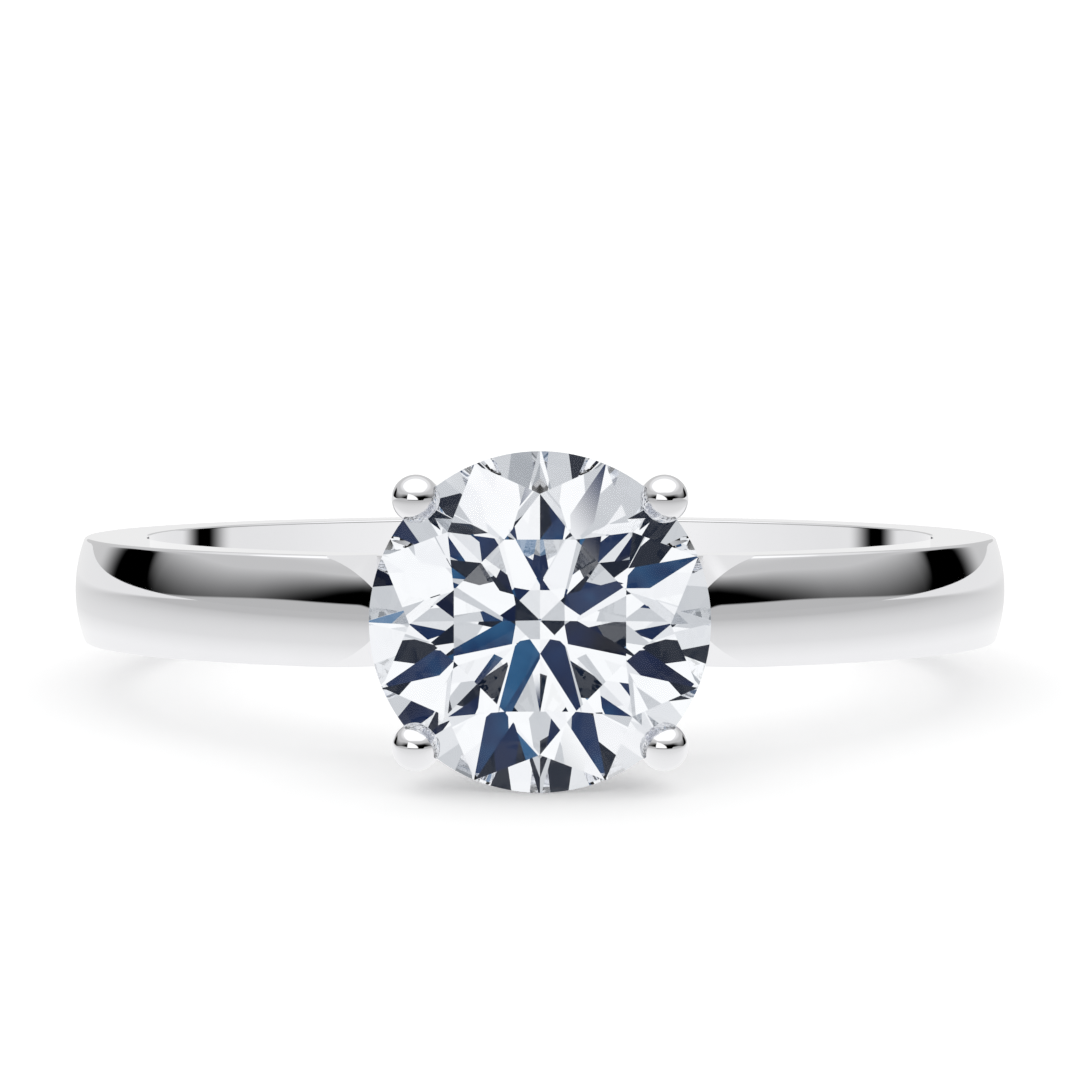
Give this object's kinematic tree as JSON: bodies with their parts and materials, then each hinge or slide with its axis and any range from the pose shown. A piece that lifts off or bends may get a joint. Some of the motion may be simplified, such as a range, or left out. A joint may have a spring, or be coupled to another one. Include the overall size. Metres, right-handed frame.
{
  "type": "solitaire engagement ring",
  "caption": "Finger ring with a polished court-profile band, pinched shoulders and a round brilliant stone held by ball-tipped wire claws in an open basket.",
  "frame": {"origin": "centre of the finger hole, on its axis and midway across the band", "axes": "+Z along the finger hole, -Y from the finger hole towards the stone, +X to the right seen from the stone's side"},
  "size_m": [0.0194, 0.0228, 0.0066],
  "materials": {
    "polished_metal": "mirror polished white precious metal",
    "diamond": "polished facets, colourless"
  },
  "bodies": {
    "root": {"shank": "polished_metal", "bridge": "polished_metal", "base_rail": "polished_metal", "gallery_rail": "polished_metal", "claw_upper_left": "polished_metal", "claw_upper_right": "polished_metal", "claw_lower_left": "polished_metal", "claw_lower_right": "polished_metal", "diamond": "diamond"}
  },
  "joints": []
}
